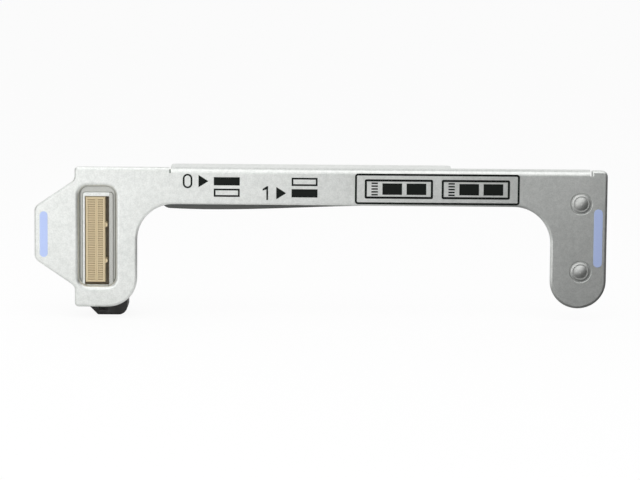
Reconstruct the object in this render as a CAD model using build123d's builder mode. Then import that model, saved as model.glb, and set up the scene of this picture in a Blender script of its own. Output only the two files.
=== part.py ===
from build123d import *
import os

os.makedirs("parts", exist_ok=True)

# A riser card for a rack server. A folded steel bracket shaped like a low bridge stands upright and
# carries an L-shaped circuit board behind its left leg and the left half of its beam.
# The origin is the middle of the black plug's mating face, at the foot of the board. +Z points up,
# out of the socket below, the printed front of the bracket faces -Y and the beam runs along X.
# All lengths are in millimetres.

# Sheet of the bracket
sheet = 1.0
edge_round = 0.95
fold_inner_round = 1.0

# Outline of the bracket, seen from the front
foot_height = 4.0
gap_width = 143.75
right_leg_width = 19.6
right_leg_drop = 35.5
beam_height = 13.0
outer_corner_round = 1.3
top_right_round = 2.1
left_foot_inner_round = 10.4
left_gap_round = 12.5
right_gap_round = 12.9

# Finger tab on the left leg, with a root a little taller than the window pan
tab_reach = 14.0
tab_root_top_land = 2.25
tab_root_low_land = 0.25
tab_tip_height = 18.4
tab_root_round = 2.5
tab_tip_round = 3.0

# Top edge folded to the back, deeper over the board, with a narrow relief slit at each end
fold_start = 11.6
fold_depth = 3.5
fold_end_land = 5.7
hood_length = 97.4
hood_depth = 12.0
hood_corner_round = 2.0
relief_width = 0.4
relief_depth = 0.1

# Pressed window pan, which fills the left leg up to the lands round it
pan_left_land = 1.55
pan_right_land = 7.6
pan_top_land = 6.85
pan_foot_land = 7.4
pan_corner_round = 3.2
pan_mouth_round = 1.4
pan_floor_round = 0.6
pan_wall = 0.4

# Ledges of the pan's floor round its window
ledge_left = 1.92
ledge_right = 2.25
ledge_top = 3.6
ledge_low = 0.2

# Lip round the window, which stands up from the pan's floor towards the front
lip_rise = 0.5
lip_left = 0.95
lip_right = 1.6
lip_top = 1.45
lip_low = 0.6
lip_edge_round = 0.45
lip_corner_round = 1.2

# Board socket that looks out through the pan's window
socket_width = 6.85
socket_height = 30.0
socket_set_back = 0.1
socket_edge_break = 0.3
window_left_gap = 0.25
window_right_gap = 1.38
window_top_gap = 0.25
window_low_gap = 0.9
window_corner_round = 0.3
groove_width = 0.4
groove_depth = 0.35
groove_shift = 0.4
nub_window_gap = 0.6
nub_pitch = 12.6
nub_drop = 1.2
nub_set_back = 0.5
cell_pitch = 0.8
cell_height = 0.4
cell_depth = 1.1
cell_margin = 0.75
cell_wall = 0.3
cell_contact_gap = 0.05
cell_contact_length = 0.6

# Circuit board
standoff_height = 5.8
board_thickness = 1.6
board_edge_gap = 0.8
board_window_gap = 1.3
board_fold_gap = 0.6
board_tab_root_gap = 2.8
board_tab_tip_gap = 0.2
board_corner_round = 1.0

# Posts and screws that carry the board
post_radius = 2.5
post_floor = 0.8
tab_post_gap = 0.15
tab_post_inset = 3.5
corner_post_shift = 3.5
end_post_inset = 4.5
screw_radius = 1.25
screw_thread_gap = 0.05
screw_tip_gap = 1.0
screw_head_radius = 2.5
screw_head_height = 1.9
screw_head_round = 0.6
screw_rim_slack = 0.01
screw_drive_width = 0.6
screw_drive_length = 2.6
screw_drive_depth = 1.0
screw_hole_gap = 0.25

# Black plug at the foot of the board
plug_offset = 0.35
plug_width = 13.4
plug_depth = 11.0
plug_height = 22.0
plug_chamfer = 3.0
plug_foot_round = 3.2
plug_edge_round = 0.5
plug_slot_width = 2.4
plug_slot_wall = 1.3
plug_slot_depth = 7.0
plug_recess_width = 3.1
plug_recess_depth = 0.8
plug_recess_start = 1.8
plug_recess_length = 8.0
plug_recess_shift = -1.75
plug_contact_pitch = 0.95
plug_contact_width = 0.5
plug_contact_thickness = 0.3
plug_contact_length = 5.4

# Two module sockets on the back of the board, the upper one for module 0
module_width = 22.0
module_depth = 8.0
module_height = 5.2
module_edge_gap = 0.55
module_plug_gap = 2.9
module_spacing = 7.3
module_edge_break = 0.5
slit_end_wall = 1.0
slit_height = 1.0
slit_depth = 6.0
slit_key_width = 1.2
slit_key_shift = 6.0
slit_contact_pitch = 1.0
slit_contact_width = 0.4
slit_contact_thickness = 0.25
slit_contact_length = 4.5
slit_contact_key_gap = 0.2
hold_down_thickness = 0.25
hold_down_width = 3.0
hold_down_depth = 3.2

# Chips and small parts on the back of the board, in a row along the beam
row_start_gap = 5.0
row_gap = 2.4
chip_edge_break = 0.15
repeater_width = 4.5
repeater_height = 6.5
repeater_thickness = 0.85
power_switch_side = 4.0
power_switch_thickness = 0.9
inductor_side = 4.4
inductor_thickness = 2.4
inductor_corner_round = 0.8
bulk_width = 1.8
bulk_height = 3.2
bulk_thickness = 1.6
bulk_pitch = 3.3
bulk_count = 3
resistor_width = 1.6
resistor_height = 0.8
resistor_thickness = 0.45
resistor_pitch = 1.8
resistor_count = 4
coupling_width = 0.6
coupling_height = 1.1
coupling_thickness = 0.5
coupling_pitch = 1.9
coupling_count = 6
memory_width = 3.9
memory_height = 4.9
memory_thickness = 1.4
memory_edge_gap = 0.5
memory_lift = 5.2
lead_pitch = 1.27
lead_rows = 4
lead_width = 0.42
lead_reach = 1.0
lead_thickness = 0.2
lead_rise = 0.75
clock_width = 3.2
clock_height = 2.5
clock_thickness = 0.8

# Pin header at the beam end of the board
header_depth = 5.5
header_wall = 0.8
header_pin_gap = 0.2
header_floor = 1.6
header_corner_round = 0.4
header_notch_width = 3.0
header_notch_depth = 2.0
header_pin_side = 0.5
header_pin_length = 3.2
header_pin_pitch = 2.0
header_pin_columns = 5
header_pin_rows = 2

# Riveted standoffs on the right leg
rivet_shift = 0.75
rivet_drop = 23.6
rivet_pitch = 23.8
rivet_neck_radius = 2.1
rivet_neck_gap = 0.05
rivet_head_radius = 3.25
rivet_ring_width = 0.55
rivet_ring_height = 0.4
rivet_groove_height = 0.2
rivet_groove_width = 0.35
rivet_dome_height = 0.95
rivet_seat_gap = 0.45
rivet_seat_depth = 0.3
rivet_seat_round = 0.25
rivet_post_radius = 3.0
rivet_post_length = 9.0
rivet_bore_radius = 1.5
rivet_bore_depth = 7.0

# Insulating film between the bracket and the board
film_thickness = 0.25
film_start_gap = 2.2
film_overhang = 4.8
film_corner_round = 3.4
film_fold_gap = 0.2
film_post_gap = 0.5

# How far the film bows below the beam, at distances from its left end
film_bow = [(3.4, 1.35), (21.5, 1.65), (42.5, 1.05)]

# Ink on the front
ink = 0.1
mark_drop = 0.2
mark_pitch = 4.0
mark_line = 0.6
bar_width = 9.0
bar_height = 2.85
zero_width = 3.3
zero_height = 5.05
one_width = 1.9
one_height = 4.8
arrow_length = 3.4
arrow_height = 4.3
mark_start = 17.5
mark_group_pitch = 27.0
arrow_step = 5.5
bar_step = 13.6
sign_shift = 1.0
sign_width = 57.2
sign_top_land = 1.6
sign_low_land = 0.65
sign_line = 0.7
sign_corner_round = 1.1
card_side_gap = 2.7
card_top_gap = 1.3
card_spacing = 3.0
card_line = 0.75
card_corner_round = 0.6
card_gap = 1.6
card_chip_gap = 0.65
card_contact_width = 2.2
card_contact_height = 0.5
card_contact_pitch = 1.0
card_contact_rows = 5
left_mark_width = 2.7
left_mark_length = 16.0
left_mark_inset = 3.3
right_mark_width = 3.0
right_mark_length = 20.4
right_mark_inset = 3.1
touch_mark_drop = 23.7

# Depths from front to back
plate_front = -(sheet + standoff_height + board_thickness + plug_depth / 2)
sheet_back = plate_front + sheet
board_front = sheet_back + standoff_height
board_back = board_front + board_thickness

# Window pan and its socket, from the inside out
pan_depth = pan_mouth_round + pan_wall + pan_floor_round
window_width = window_left_gap + socket_width + window_right_gap
window_height = window_low_gap + socket_height + window_top_gap
pan_width = ledge_left + window_width + ledge_right
pan_height = ledge_low + window_height + ledge_top
left_leg_width = pan_left_land + pan_width + pan_right_land
left_leg_drop = pan_foot_land + pan_height + pan_top_land - beam_height

# Outline of the bracket
leg_left = -plug_offset - left_leg_width / 2
leg_right = leg_left + left_leg_width
far_left = leg_right + gap_width
far_right = far_left + right_leg_width
tab_left = leg_left - tab_reach
beam_low = foot_height + left_leg_drop
beam_top = beam_low + beam_height
beam_mid = beam_low + beam_height / 2
far_foot = beam_low - right_leg_drop
full_round_slack = 0.05
right_foot_round = right_leg_width / 2 - full_round_slack

# Folded top edge
fold_outer_round = fold_inner_round + sheet
fold_low = beam_top - fold_outer_round
relief_low = fold_low - relief_depth
fold_left = leg_right + fold_start
fold_right = far_right - fold_end_land - relief_width

# Places of the pan, the window in its floor, the socket in the window and the tab beside it
pan_x = leg_left + pan_left_land + pan_width / 2
pan_z = foot_height + pan_foot_land + pan_height / 2
pan_floor = plate_front + pan_depth
pan_rear = pan_floor + sheet
window_x = pan_x + (ledge_left - ledge_right) / 2
window_z = pan_z + (ledge_low - ledge_top) / 2
socket_x = window_x + (window_left_gap - window_right_gap) / 2
socket_z = window_z + (window_low_gap - window_top_gap) / 2
socket_face = pan_floor - lip_rise + socket_set_back
socket_depth = board_front - socket_face
tab_root_height = tab_root_low_land + pan_height + tab_root_top_land
tab_mid = pan_z + (tab_root_top_land - tab_root_low_land) / 2

# Circuit board
board_left = leg_left + board_edge_gap
board_right = leg_right - board_window_gap
board_low = foot_height + board_edge_gap
board_top = beam_top - sheet - board_fold_gap
board_beam_low = beam_low + board_window_gap
board_beam_mid = (board_beam_low + board_top) / 2
board_gap_round = left_gap_round + board_window_gap
board_foot_round = left_foot_inner_round - board_window_gap
board_tab_root_height = tab_root_height - 2 * board_tab_root_gap
board_tab_tip_height = tab_tip_height - 2 * board_tab_tip_gap

# Module sockets, stacked above the plug
module_x = board_right - module_edge_gap - hold_down_thickness - module_width / 2
module_back = board_back + module_depth
slit_width = module_width - 2 * slit_end_wall
lower_module_z = plug_height + module_plug_gap + module_height / 2
module_heights = {
    "slot_0": lower_module_z + module_height + module_spacing,
    "slot_1": lower_module_z,
}
slit_floor = module_back - slit_depth
upper_module_top = module_heights["slot_0"] + module_height / 2

# Row of parts along the beam, each with its width, between two posts
header_width = header_pin_columns * header_pin_pitch + 2 * (header_wall + header_pin_gap)
header_height = header_pin_rows * header_pin_pitch + 2 * (header_wall + header_pin_gap)
row_widths = {
    "power_inductor": inductor_side,
    "power_switch_chip": power_switch_side,
    "bulk_capacitors": (bulk_count - 1) * bulk_pitch + bulk_width,
    "chip_resistors": resistor_width,
    "left_signal_repeater": repeater_width,
    "right_signal_repeater": repeater_width,
    "cable_header": header_width,
}
corner_post_x = leg_right + corner_post_shift
row_x = {}
row_end = corner_post_x + screw_head_radius + row_start_gap
for name, width in row_widths.items():
    row_x[name] = row_end + width / 2
    row_end += width + row_gap

# Posts that carry the board: on its lobe behind the tab, at its inner corner and at its beam end
tab_post_x = module_x - module_width / 2 - hold_down_thickness - tab_post_gap - screw_head_radius
end_post_x = row_end + screw_head_radius
board_tab_left = tab_post_x - tab_post_inset
board_beam_right = end_post_x + end_post_inset
posts = [(tab_post_x, tab_mid), (corner_post_x, board_beam_mid), (end_post_x, board_beam_mid)]
post_bore_radius = screw_radius + screw_thread_gap
post_bore_depth = standoff_height - post_floor
screw_length = board_thickness + post_bore_depth - screw_tip_gap

# Riveted standoffs
rivet_x = far_left + right_leg_width / 2 + rivet_shift
rivet_z = beam_top - rivet_drop
rivet_heights = {
    "upper_rivet_standoff": rivet_z + rivet_pitch / 2,
    "lower_rivet_standoff": rivet_z - rivet_pitch / 2,
}

# Printed marks
marks_z = beam_mid - mark_drop
slot_0_x = leg_right + mark_start
slot_1_x = slot_0_x + mark_group_pitch
marks_right = slot_1_x + bar_step + bar_width / 2
sign_x = (marks_right + far_left) / 2 + sign_shift
sign_height = beam_height - sign_low_land - sign_top_land
sign_z = beam_low + sign_low_land + sign_height / 2
touch_mark_z = beam_top - touch_mark_drop


# A front view at depth y: sketch x is X, sketch y is Z, and a positive extrusion runs to the front
def facing(y):
    return Plane.XZ.offset(-y)


# Rounds the corner of the open sketch that lies nearest to a point
def round_corner(x, y, radius):
    fillet(vertices().sort_by_distance((x, y))[0], radius)


# Flat outline of the bracket, with the strip left out that the fold takes
with BuildSketch() as outline:
    with BuildLine():
        Polyline(
            (leg_left, foot_height),
            (leg_right, foot_height),
            (leg_right, beam_low),
            (far_left, beam_low),
            (far_left, far_foot),
            (far_right, far_foot),
            (far_right, beam_top),
            (fold_right + relief_width, beam_top),
            (fold_right + relief_width, relief_low),
            (fold_right, relief_low),
            (fold_right, fold_low),
            (fold_left, fold_low),
            (fold_left, relief_low),
            (fold_left - relief_width, relief_low),
            (fold_left - relief_width, beam_top),
            (leg_left, beam_top),
            (leg_left, tab_mid + tab_root_height / 2),
            (tab_left, tab_mid + tab_tip_height / 2),
            (tab_left, tab_mid - tab_tip_height / 2),
            (leg_left, tab_mid - tab_root_height / 2),
            close=True,
        )
    make_face()
    round_corner(leg_left, foot_height, outer_corner_round)
    round_corner(leg_left, beam_top, outer_corner_round)
    round_corner(leg_right, foot_height, left_foot_inner_round)
    round_corner(leg_right, beam_low, left_gap_round)
    round_corner(far_left, beam_low, right_gap_round)
    round_corner(far_left, far_foot, right_foot_round)
    round_corner(far_right, far_foot, right_foot_round)
    round_corner(far_right, beam_top, top_right_round)
    for side in (-1, 1):
        round_corner(leg_left, tab_mid + side * tab_root_height / 2, tab_root_round)
        round_corner(tab_left, tab_mid + side * tab_tip_height / 2, tab_tip_round)


# Lip round the window, rounded over on its outer side
with BuildPart() as window_lip:
    with BuildSketch(facing(pan_floor)):
        with Locations((window_x + (lip_right - lip_left) / 2, window_z + (lip_top - lip_low) / 2)):
            RectangleRounded(
                window_width + lip_left + lip_right,
                window_height + lip_low + lip_top,
                lip_corner_round,
            )
    extrude(amount=lip_rise)
    fillet(window_lip.faces().sort_by(Axis.Y)[0].edges(), lip_edge_round)


# Bracket: one folded and pressed steel sheet
with BuildPart() as bracket:
    with BuildSketch(facing(sheet_back)):
        add(outline.sketch)
    extrude(amount=sheet)

    # The front edge is rolled over all round, apart from the notches and the fold
    front_face = bracket.faces().sort_by(Axis.Y)[0]
    rim = [
        edge
        for edge in front_face.outer_wire().edges()
        if edge.center().Z < beam_mid
        or edge.center().X < fold_left - relief_width
        or edge.center().X > fold_right + relief_width
    ]
    fillet(rim, edge_round)

    # Top fold, shallow along its length and deeper over the board
    with BuildSketch(Plane.YZ.offset(fold_left)):
        with BuildLine():
            bend_centre = (plate_front + fold_outer_round, fold_low)
            outer_bend = CenterArc(bend_centre, fold_outer_round, 90, 90)
            inner_bend = CenterArc(bend_centre, fold_inner_round, 90, 90)
            Line(outer_bend @ 1, inner_bend @ 1)
            Polyline(
                outer_bend @ 0,
                (plate_front + fold_depth, beam_top),
                (plate_front + fold_depth, beam_top - sheet),
                inner_bend @ 0,
            )
        make_face()
    extrude(amount=fold_right - fold_left)
    with BuildSketch(Plane.XY.offset(beam_top - sheet)):
        with BuildLine():
            Polyline(
                (fold_left, plate_front + fold_outer_round),
                (fold_left + hood_length, plate_front + fold_outer_round),
                (fold_left + hood_length, plate_front + hood_depth),
                (fold_left, plate_front + hood_depth),
                close=True,
            )
        make_face()
        round_corner(fold_left, plate_front + hood_depth, hood_corner_round)
        round_corner(fold_left + hood_length, plate_front + hood_depth, hood_corner_round)
    extrude(amount=sheet)

    # Window pan, pressed towards the back
    with BuildSketch(facing(pan_rear)):
        with Locations((pan_x, pan_z)):
            RectangleRounded(pan_width + 2 * sheet, pan_height + 2 * sheet, pan_corner_round + sheet)
    extrude(amount=pan_rear - sheet_back)
    rear_face = bracket.faces().sort_by_distance((pan_x, pan_rear, pan_z))[0]
    fillet(rear_face.edges(), pan_floor_round + sheet)
    with BuildSketch(facing(pan_floor)):
        with Locations((pan_x, pan_z)):
            RectangleRounded(pan_width, pan_height, pan_corner_round)
    extrude(amount=pan_depth, mode=Mode.SUBTRACT)
    floor_face = bracket.faces().sort_by_distance((pan_x, pan_floor, pan_z))[0]
    fillet(floor_face.edges(), pan_floor_round)
    mouth = bracket.faces().sort_by(Axis.Y)[0].inner_wires()[0]
    fillet(mouth.edges(), pan_mouth_round)

    # Lip on the floor of the pan, and the window through both
    add(window_lip.part)
    with BuildSketch(facing(pan_rear)):
        with Locations((window_x, window_z)):
            RectangleRounded(window_width, window_height, window_corner_round)
    extrude(amount=sheet + lip_rise, mode=Mode.SUBTRACT)

    # Holes and shallow seats for the two riveted standoffs
    for height in rivet_heights.values():
        with BuildSketch(facing(sheet_back)):
            with Locations((rivet_x, height)):
                Circle(rivet_neck_radius + rivet_neck_gap)
        extrude(amount=sheet, mode=Mode.SUBTRACT)
        with BuildSketch(facing(plate_front + rivet_seat_depth)):
            with Locations((rivet_x, height)):
                Circle(rivet_head_radius + rivet_seat_gap)
        extrude(amount=rivet_seat_depth, mode=Mode.SUBTRACT)
        seat_rim = bracket.faces().sort_by(Axis.Y)[0].inner_wires().sort_by_distance(
            (rivet_x, plate_front, height)
        )[0]
        fillet(seat_rim.edges(), rivet_seat_round)
bracket.part.label = "bracket"
export_step(bracket.part, "parts/bracket.step")


# Riveted standoffs: a threaded post behind the leg, whose neck is spun over into a ringed dome in front
for name, height in rivet_heights.items():
    turning_plane = Plane(origin=(rivet_x, plate_front, height), x_dir=(1, 0, 0), z_dir=(0, 0, 1))
    turning_axis = Axis((rivet_x, plate_front, height), (0, 1, 0))
    ring_inner = rivet_head_radius - rivet_ring_width
    dome_radius = ring_inner - rivet_groove_width
    post_rear = sheet + rivet_post_length
    with BuildPart() as rivet_standoff:
        with BuildSketch(turning_plane):
            with BuildLine():
                TangentArc((0, -rivet_dome_height), (dome_radius, -rivet_groove_height), tangent=(1, 0))
                Polyline(
                    (dome_radius, -rivet_groove_height),
                    (ring_inner, -rivet_groove_height),
                    (ring_inner, -rivet_ring_height),
                    (rivet_head_radius, -rivet_groove_height),
                    (rivet_head_radius, rivet_seat_depth),
                    (rivet_neck_radius, rivet_seat_depth),
                    (rivet_neck_radius, sheet),
                    (rivet_post_radius, sheet),
                    (rivet_post_radius, post_rear),
                    (rivet_bore_radius, post_rear),
                    (rivet_bore_radius, post_rear - rivet_bore_depth),
                    (0, post_rear - rivet_bore_depth),
                    (0, -rivet_dome_height),
                )
            make_face()
        revolve(axis=turning_axis)
    rivet_standoff.part.label = name
    export_step(rivet_standoff.part, f"parts/{name}.step")


# Circuit board: L-shaped, with a lobe behind the finger tab
with BuildPart() as riser_board:
    with BuildSketch(facing(board_back)):
        with BuildLine():
            Polyline(
                (board_left, board_low),
                (board_right, board_low),
                (board_right, board_beam_low),
                (board_beam_right, board_beam_low),
                (board_beam_right, board_top),
                (board_left, board_top),
                (board_left, tab_mid + board_tab_root_height / 2),
                (board_tab_left, tab_mid + board_tab_tip_height / 2),
                (board_tab_left, tab_mid - board_tab_tip_height / 2),
                (board_left, tab_mid - board_tab_root_height / 2),
                close=True,
            )
        make_face()
        round_corner(board_right, board_beam_low, board_gap_round)
        round_corner(board_left, board_low, board_corner_round)
        round_corner(board_right, board_low, board_foot_round)
        round_corner(board_beam_right, board_beam_low, board_corner_round)
        round_corner(board_beam_right, board_top, board_corner_round)
        round_corner(board_left, board_top, board_corner_round)
        for side in (-1, 1):
            round_corner(board_tab_left, tab_mid + side * board_tab_tip_height / 2, board_corner_round)
        with Locations(*posts):
            Circle(screw_radius + screw_hole_gap, mode=Mode.SUBTRACT)
    extrude(amount=board_thickness)
riser_board.part.label = "riser_board"
export_step(riser_board.part, "parts/riser_board.step")


# Board standoffs: threaded posts welded to the back of the bracket
with BuildPart() as board_standoffs:
    with BuildSketch(facing(board_front)):
        with Locations(*posts):
            Circle(post_radius)
    extrude(amount=standoff_height)
    with BuildSketch(facing(board_front)):
        with Locations(*posts):
            Circle(post_bore_radius)
    extrude(amount=post_bore_depth, mode=Mode.SUBTRACT)
board_standoffs.part.label = "board_standoffs"
export_step(board_standoffs.part, "parts/board_standoffs.step")


# Board screws: round heads with a cross drive, seated on the back of the board
with BuildPart() as board_screws:
    head_rear = board_back + screw_head_height
    with BuildSketch(facing(head_rear)):
        with Locations(*posts):
            Circle(screw_head_radius)
    extrude(amount=screw_head_height)
    head_rims = board_screws.edges().filter_by_position(
        Axis.Y, head_rear - screw_rim_slack, head_rear + screw_rim_slack
    )
    fillet(head_rims, screw_head_round)
    with BuildSketch(facing(board_back)):
        with Locations(*posts):
            Circle(screw_radius)
    extrude(amount=screw_length)
    with BuildSketch(facing(head_rear)):
        with Locations(*posts):
            Rectangle(screw_drive_length, screw_drive_width)
            Rectangle(screw_drive_width, screw_drive_length)
    extrude(amount=screw_drive_depth, mode=Mode.SUBTRACT)
board_screws.part.label = "board_screws"
export_step(board_screws.part, "parts/board_screws.step")


# Insulating film: stuck to the back of the beam, and bowing a little below its lower edge
film_left = corner_post_x + post_radius + film_start_gap
film_right = board_beam_right + film_overhang
film_top = beam_top - sheet - fold_inner_round - film_fold_gap
film_foot = [(film_left + place, beam_low - peek) for place, peek in film_bow]
film_foot.append((film_right, beam_low))
film_corner_top = (film_left, film_foot[0][1] + film_corner_round)
with BuildPart() as insulating_film:
    with BuildSketch(facing(sheet_back + film_thickness)):
        with BuildLine():
            Spline(*film_foot)
            Polyline(film_foot[-1], (film_right, film_top), (film_left, film_top), film_corner_top)
            RadiusArc(film_corner_top, film_foot[0], -film_corner_round)
        make_face()
        with Locations(posts[-1]):
            Circle(post_radius + film_post_gap, mode=Mode.SUBTRACT)
    extrude(amount=film_thickness)
insulating_film.part.label = "insulating_film"
export_step(insulating_film.part, "parts/insulating_film.step")


# Front socket: a tan moulding on the front of the board, with two columns of contact cells
cell_rows = int((socket_height - 2 * cell_margin - cell_height) / cell_pitch) + 1
groove_x = socket_x + groove_shift
nub_radius = window_right_gap - nub_window_gap
left_column = (socket_x - socket_width / 2 + cell_margin, groove_x - groove_width / 2 - cell_wall)
right_column = (groove_x + groove_width / 2 + cell_wall, socket_x + socket_width / 2 - cell_margin)
cell_columns = [left_column, right_column]
with BuildPart() as front_socket:
    with BuildSketch(facing(board_front)):
        with Locations((socket_x, socket_z)):
            Rectangle(socket_width, socket_height)
    extrude(amount=socket_depth)
    chamfer(front_socket.faces().sort_by(Axis.Y)[0].edges(), socket_edge_break)
    with BuildSketch(facing(board_front)):
        nub_x = socket_x + socket_width / 2
        for side in (-1, 1):
            with Locations((nub_x, socket_z - nub_drop + side * nub_pitch / 2)):
                Circle(nub_radius)
    extrude(amount=socket_depth - nub_set_back)
    with BuildSketch(facing(socket_face + groove_depth)):
        with Locations((groove_x, socket_z)):
            Rectangle(groove_width, socket_height - 2 * socket_edge_break)
    extrude(amount=groove_depth, mode=Mode.SUBTRACT)
    with BuildSketch(facing(socket_face + cell_depth)):
        for start, end in cell_columns:
            with Locations(((start + end) / 2, socket_z)):
                with GridLocations(0, cell_pitch, 1, cell_rows):
                    Rectangle(end - start, cell_height)
    extrude(amount=cell_depth, mode=Mode.SUBTRACT)
front_socket.part.label = "front_socket"
export_step(front_socket.part, "parts/front_socket.step")


# Contacts of the front socket: one blade on the floor of each cell
with BuildPart() as front_socket_contacts:
    with BuildSketch(facing(socket_face + cell_depth)):
        for start, end in cell_columns:
            with Locations(((start + end) / 2, socket_z)):
                with GridLocations(0, cell_pitch, 1, cell_rows):
                    Rectangle(end - start - cell_wall, cell_height - 2 * cell_contact_gap)
    extrude(amount=cell_contact_length)
front_socket_contacts.part.label = "front_socket_contacts"
export_step(front_socket_contacts.part, "parts/front_socket_contacts.step")


# System plug: a black moulding on the back of the board that reaches below its foot
plug_rear = board_back + plug_depth
plug_slot_mid = board_back + plug_depth / 2
plug_slot_length = plug_depth - 2 * plug_slot_wall
plug_contact_count = int((plug_slot_length - plug_contact_width) / plug_contact_pitch)
with BuildPart() as system_plug:
    with BuildSketch(facing(plug_rear)):
        with Locations((0, plug_height / 2)):
            Rectangle(plug_width, plug_height)
        chamfer(vertices().sort_by_distance((-plug_width / 2, 0))[0], plug_chamfer)
        round_corner(plug_width / 2, 0, plug_foot_round)
    extrude(amount=plug_depth)
    fillet(system_plug.faces().sort_by(Axis.Y)[-1].edges(), plug_edge_round)
    with BuildSketch(Plane.XY):
        with Locations((0, plug_slot_mid)):
            Rectangle(plug_slot_width, plug_slot_length)
    extrude(amount=plug_slot_depth, mode=Mode.SUBTRACT)
    with BuildSketch(facing(board_back + plug_recess_depth)):
        with Locations((plug_recess_shift, plug_recess_start + plug_recess_length / 2)):
            Rectangle(plug_recess_width, plug_recess_length)
    extrude(amount=plug_recess_depth, mode=Mode.SUBTRACT)
system_plug.part.label = "system_plug"
export_step(system_plug.part, "parts/system_plug.step")


# Contacts of the system plug: a row on each long wall of its slot
with BuildPart() as system_plug_contacts:
    with BuildSketch(Plane.XY.offset(plug_slot_depth - plug_contact_length)):
        for side in (-1, 1):
            with Locations((side * (plug_slot_width - plug_contact_thickness) / 2, plug_slot_mid)):
                with GridLocations(0, plug_contact_pitch, 1, plug_contact_count):
                    Rectangle(plug_contact_thickness, plug_contact_width)
    extrude(amount=plug_contact_length)
system_plug_contacts.part.label = "system_plug_contacts"
export_step(system_plug_contacts.part, "parts/system_plug_contacts.step")


# Module sockets and their contacts: a slit that opens to the back, with a key across it
slit_contact_count = int((slit_width - slit_contact_width) / slit_contact_pitch)
slit_contact_span = (slit_contact_count - 1) * slit_contact_pitch
slit_contact_places = [
    slit_contact_pitch * number - slit_contact_span / 2
    for number in range(slit_contact_count)
]
key_clearance = (slit_key_width + slit_contact_width) / 2 + slit_contact_key_gap
for slot, height in module_heights.items():
    with BuildPart() as module_socket:
        with BuildSketch(facing(module_back)):
            with Locations((module_x, height)):
                Rectangle(module_width, module_height)
        extrude(amount=module_depth)
        chamfer(module_socket.faces().sort_by(Axis.Y)[-1].edges(), module_edge_break)
        with BuildSketch(facing(module_back)):
            with Locations((module_x, height)):
                Rectangle(slit_width, slit_height)
            with Locations((module_x + slit_key_shift, height)):
                Rectangle(slit_key_width, slit_height, mode=Mode.SUBTRACT)
        extrude(amount=slit_depth, mode=Mode.SUBTRACT)
    module_socket.part.label = f"{slot}_socket"
    export_step(module_socket.part, f"parts/{slot}_socket.step")

    with BuildPart() as module_contacts:
        with BuildSketch(facing(slit_floor + slit_contact_length)):
            for side in (-1, 1):
                contact_z = height + side * (slit_height - slit_contact_thickness) / 2
                for place in slit_contact_places:
                    if abs(place - slit_key_shift) > key_clearance:
                        with Locations((module_x + place, contact_z)):
                            Rectangle(slit_contact_width, slit_contact_thickness)
        extrude(amount=slit_contact_length)
    module_contacts.part.label = f"{slot}_contacts"
    export_step(module_contacts.part, f"parts/{slot}_contacts.step")


# Hold-downs: a soldered plate at each end of both module sockets
with BuildPart() as socket_hold_downs:
    with BuildSketch(facing(board_back + hold_down_depth)):
        for height in module_heights.values():
            for side in (-1, 1):
                with Locations((module_x + side * (module_width + hold_down_thickness) / 2, height)):
                    Rectangle(hold_down_thickness, hold_down_width)
    extrude(amount=hold_down_depth)
socket_hold_downs.part.label = "socket_hold_downs"
export_step(socket_hold_downs.part, "parts/socket_hold_downs.step")


# Flat chips on the back of the board
memory_x = board_left + memory_edge_gap + lead_reach + memory_width / 2
clock_x = memory_x + memory_width / 2 + lead_reach + row_gap + clock_width / 2
upper_row_z = upper_module_top + memory_lift
repeater_size = (repeater_width, repeater_height, repeater_thickness)
power_switch_size = (power_switch_side, power_switch_side, power_switch_thickness)
chips = {
    "left_signal_repeater": (row_x["left_signal_repeater"], board_beam_mid, repeater_size),
    "right_signal_repeater": (row_x["right_signal_repeater"], board_beam_mid, repeater_size),
    "power_switch_chip": (row_x["power_switch_chip"], board_beam_mid, power_switch_size),
    "memory_chip": (memory_x, upper_row_z, (memory_width, memory_height, memory_thickness)),
    "clock_chip": (clock_x, upper_row_z, (clock_width, clock_height, clock_thickness)),
}
for name, (x, z, (width, height, thickness)) in chips.items():
    with BuildPart() as chip:
        with BuildSketch(facing(board_back + thickness)):
            with Locations((x, z)):
                Rectangle(width, height)
        extrude(amount=thickness)
        chamfer(chip.faces().sort_by(Axis.Y)[-1].edges(), chip_edge_break)
    chip.part.label = name
    export_step(chip.part, f"parts/{name}.step")


# Leads of the memory chip: each runs out of the chip's side and down to the board
lead_x = memory_x + memory_width / 2
lead_start = upper_row_z - (lead_rows - 1) * lead_pitch / 2 - lead_width / 2
lead_bend = lead_x + lead_reach - lead_rise
with BuildPart() as memory_chip_leads:
    for row in range(lead_rows):
        with BuildSketch(Plane.XY.offset(lead_start + row * lead_pitch)):
            with BuildLine():
                Polyline(
                    (lead_x, board_back + lead_rise),
                    (lead_bend, board_back + lead_rise),
                    (lead_bend, board_back),
                    (lead_x + lead_reach, board_back),
                    (lead_x + lead_reach, board_back + lead_thickness),
                    (lead_bend + lead_thickness, board_back + lead_thickness),
                    (lead_bend + lead_thickness, board_back + lead_rise + lead_thickness),
                    (lead_x, board_back + lead_rise + lead_thickness),
                    close=True,
                )
            make_face()
        extrude(amount=lead_width)
    mirror(about=Plane.YZ.offset(memory_x))
memory_chip_leads.part.label = "memory_chip_leads"
export_step(memory_chip_leads.part, "parts/memory_chip_leads.step")


# Power inductor: a square block with rounded corners
with BuildPart() as power_inductor:
    with BuildSketch(facing(board_back + inductor_thickness)):
        with Locations((row_x["power_inductor"], board_beam_mid)):
            RectangleRounded(inductor_side, inductor_side, inductor_corner_round)
    extrude(amount=inductor_thickness)
    fillet(power_inductor.faces().sort_by(Axis.Y)[-1].edges(), chip_edge_break)
power_inductor.part.label = "power_inductor"
export_step(power_inductor.part, "parts/power_inductor.step")


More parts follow.
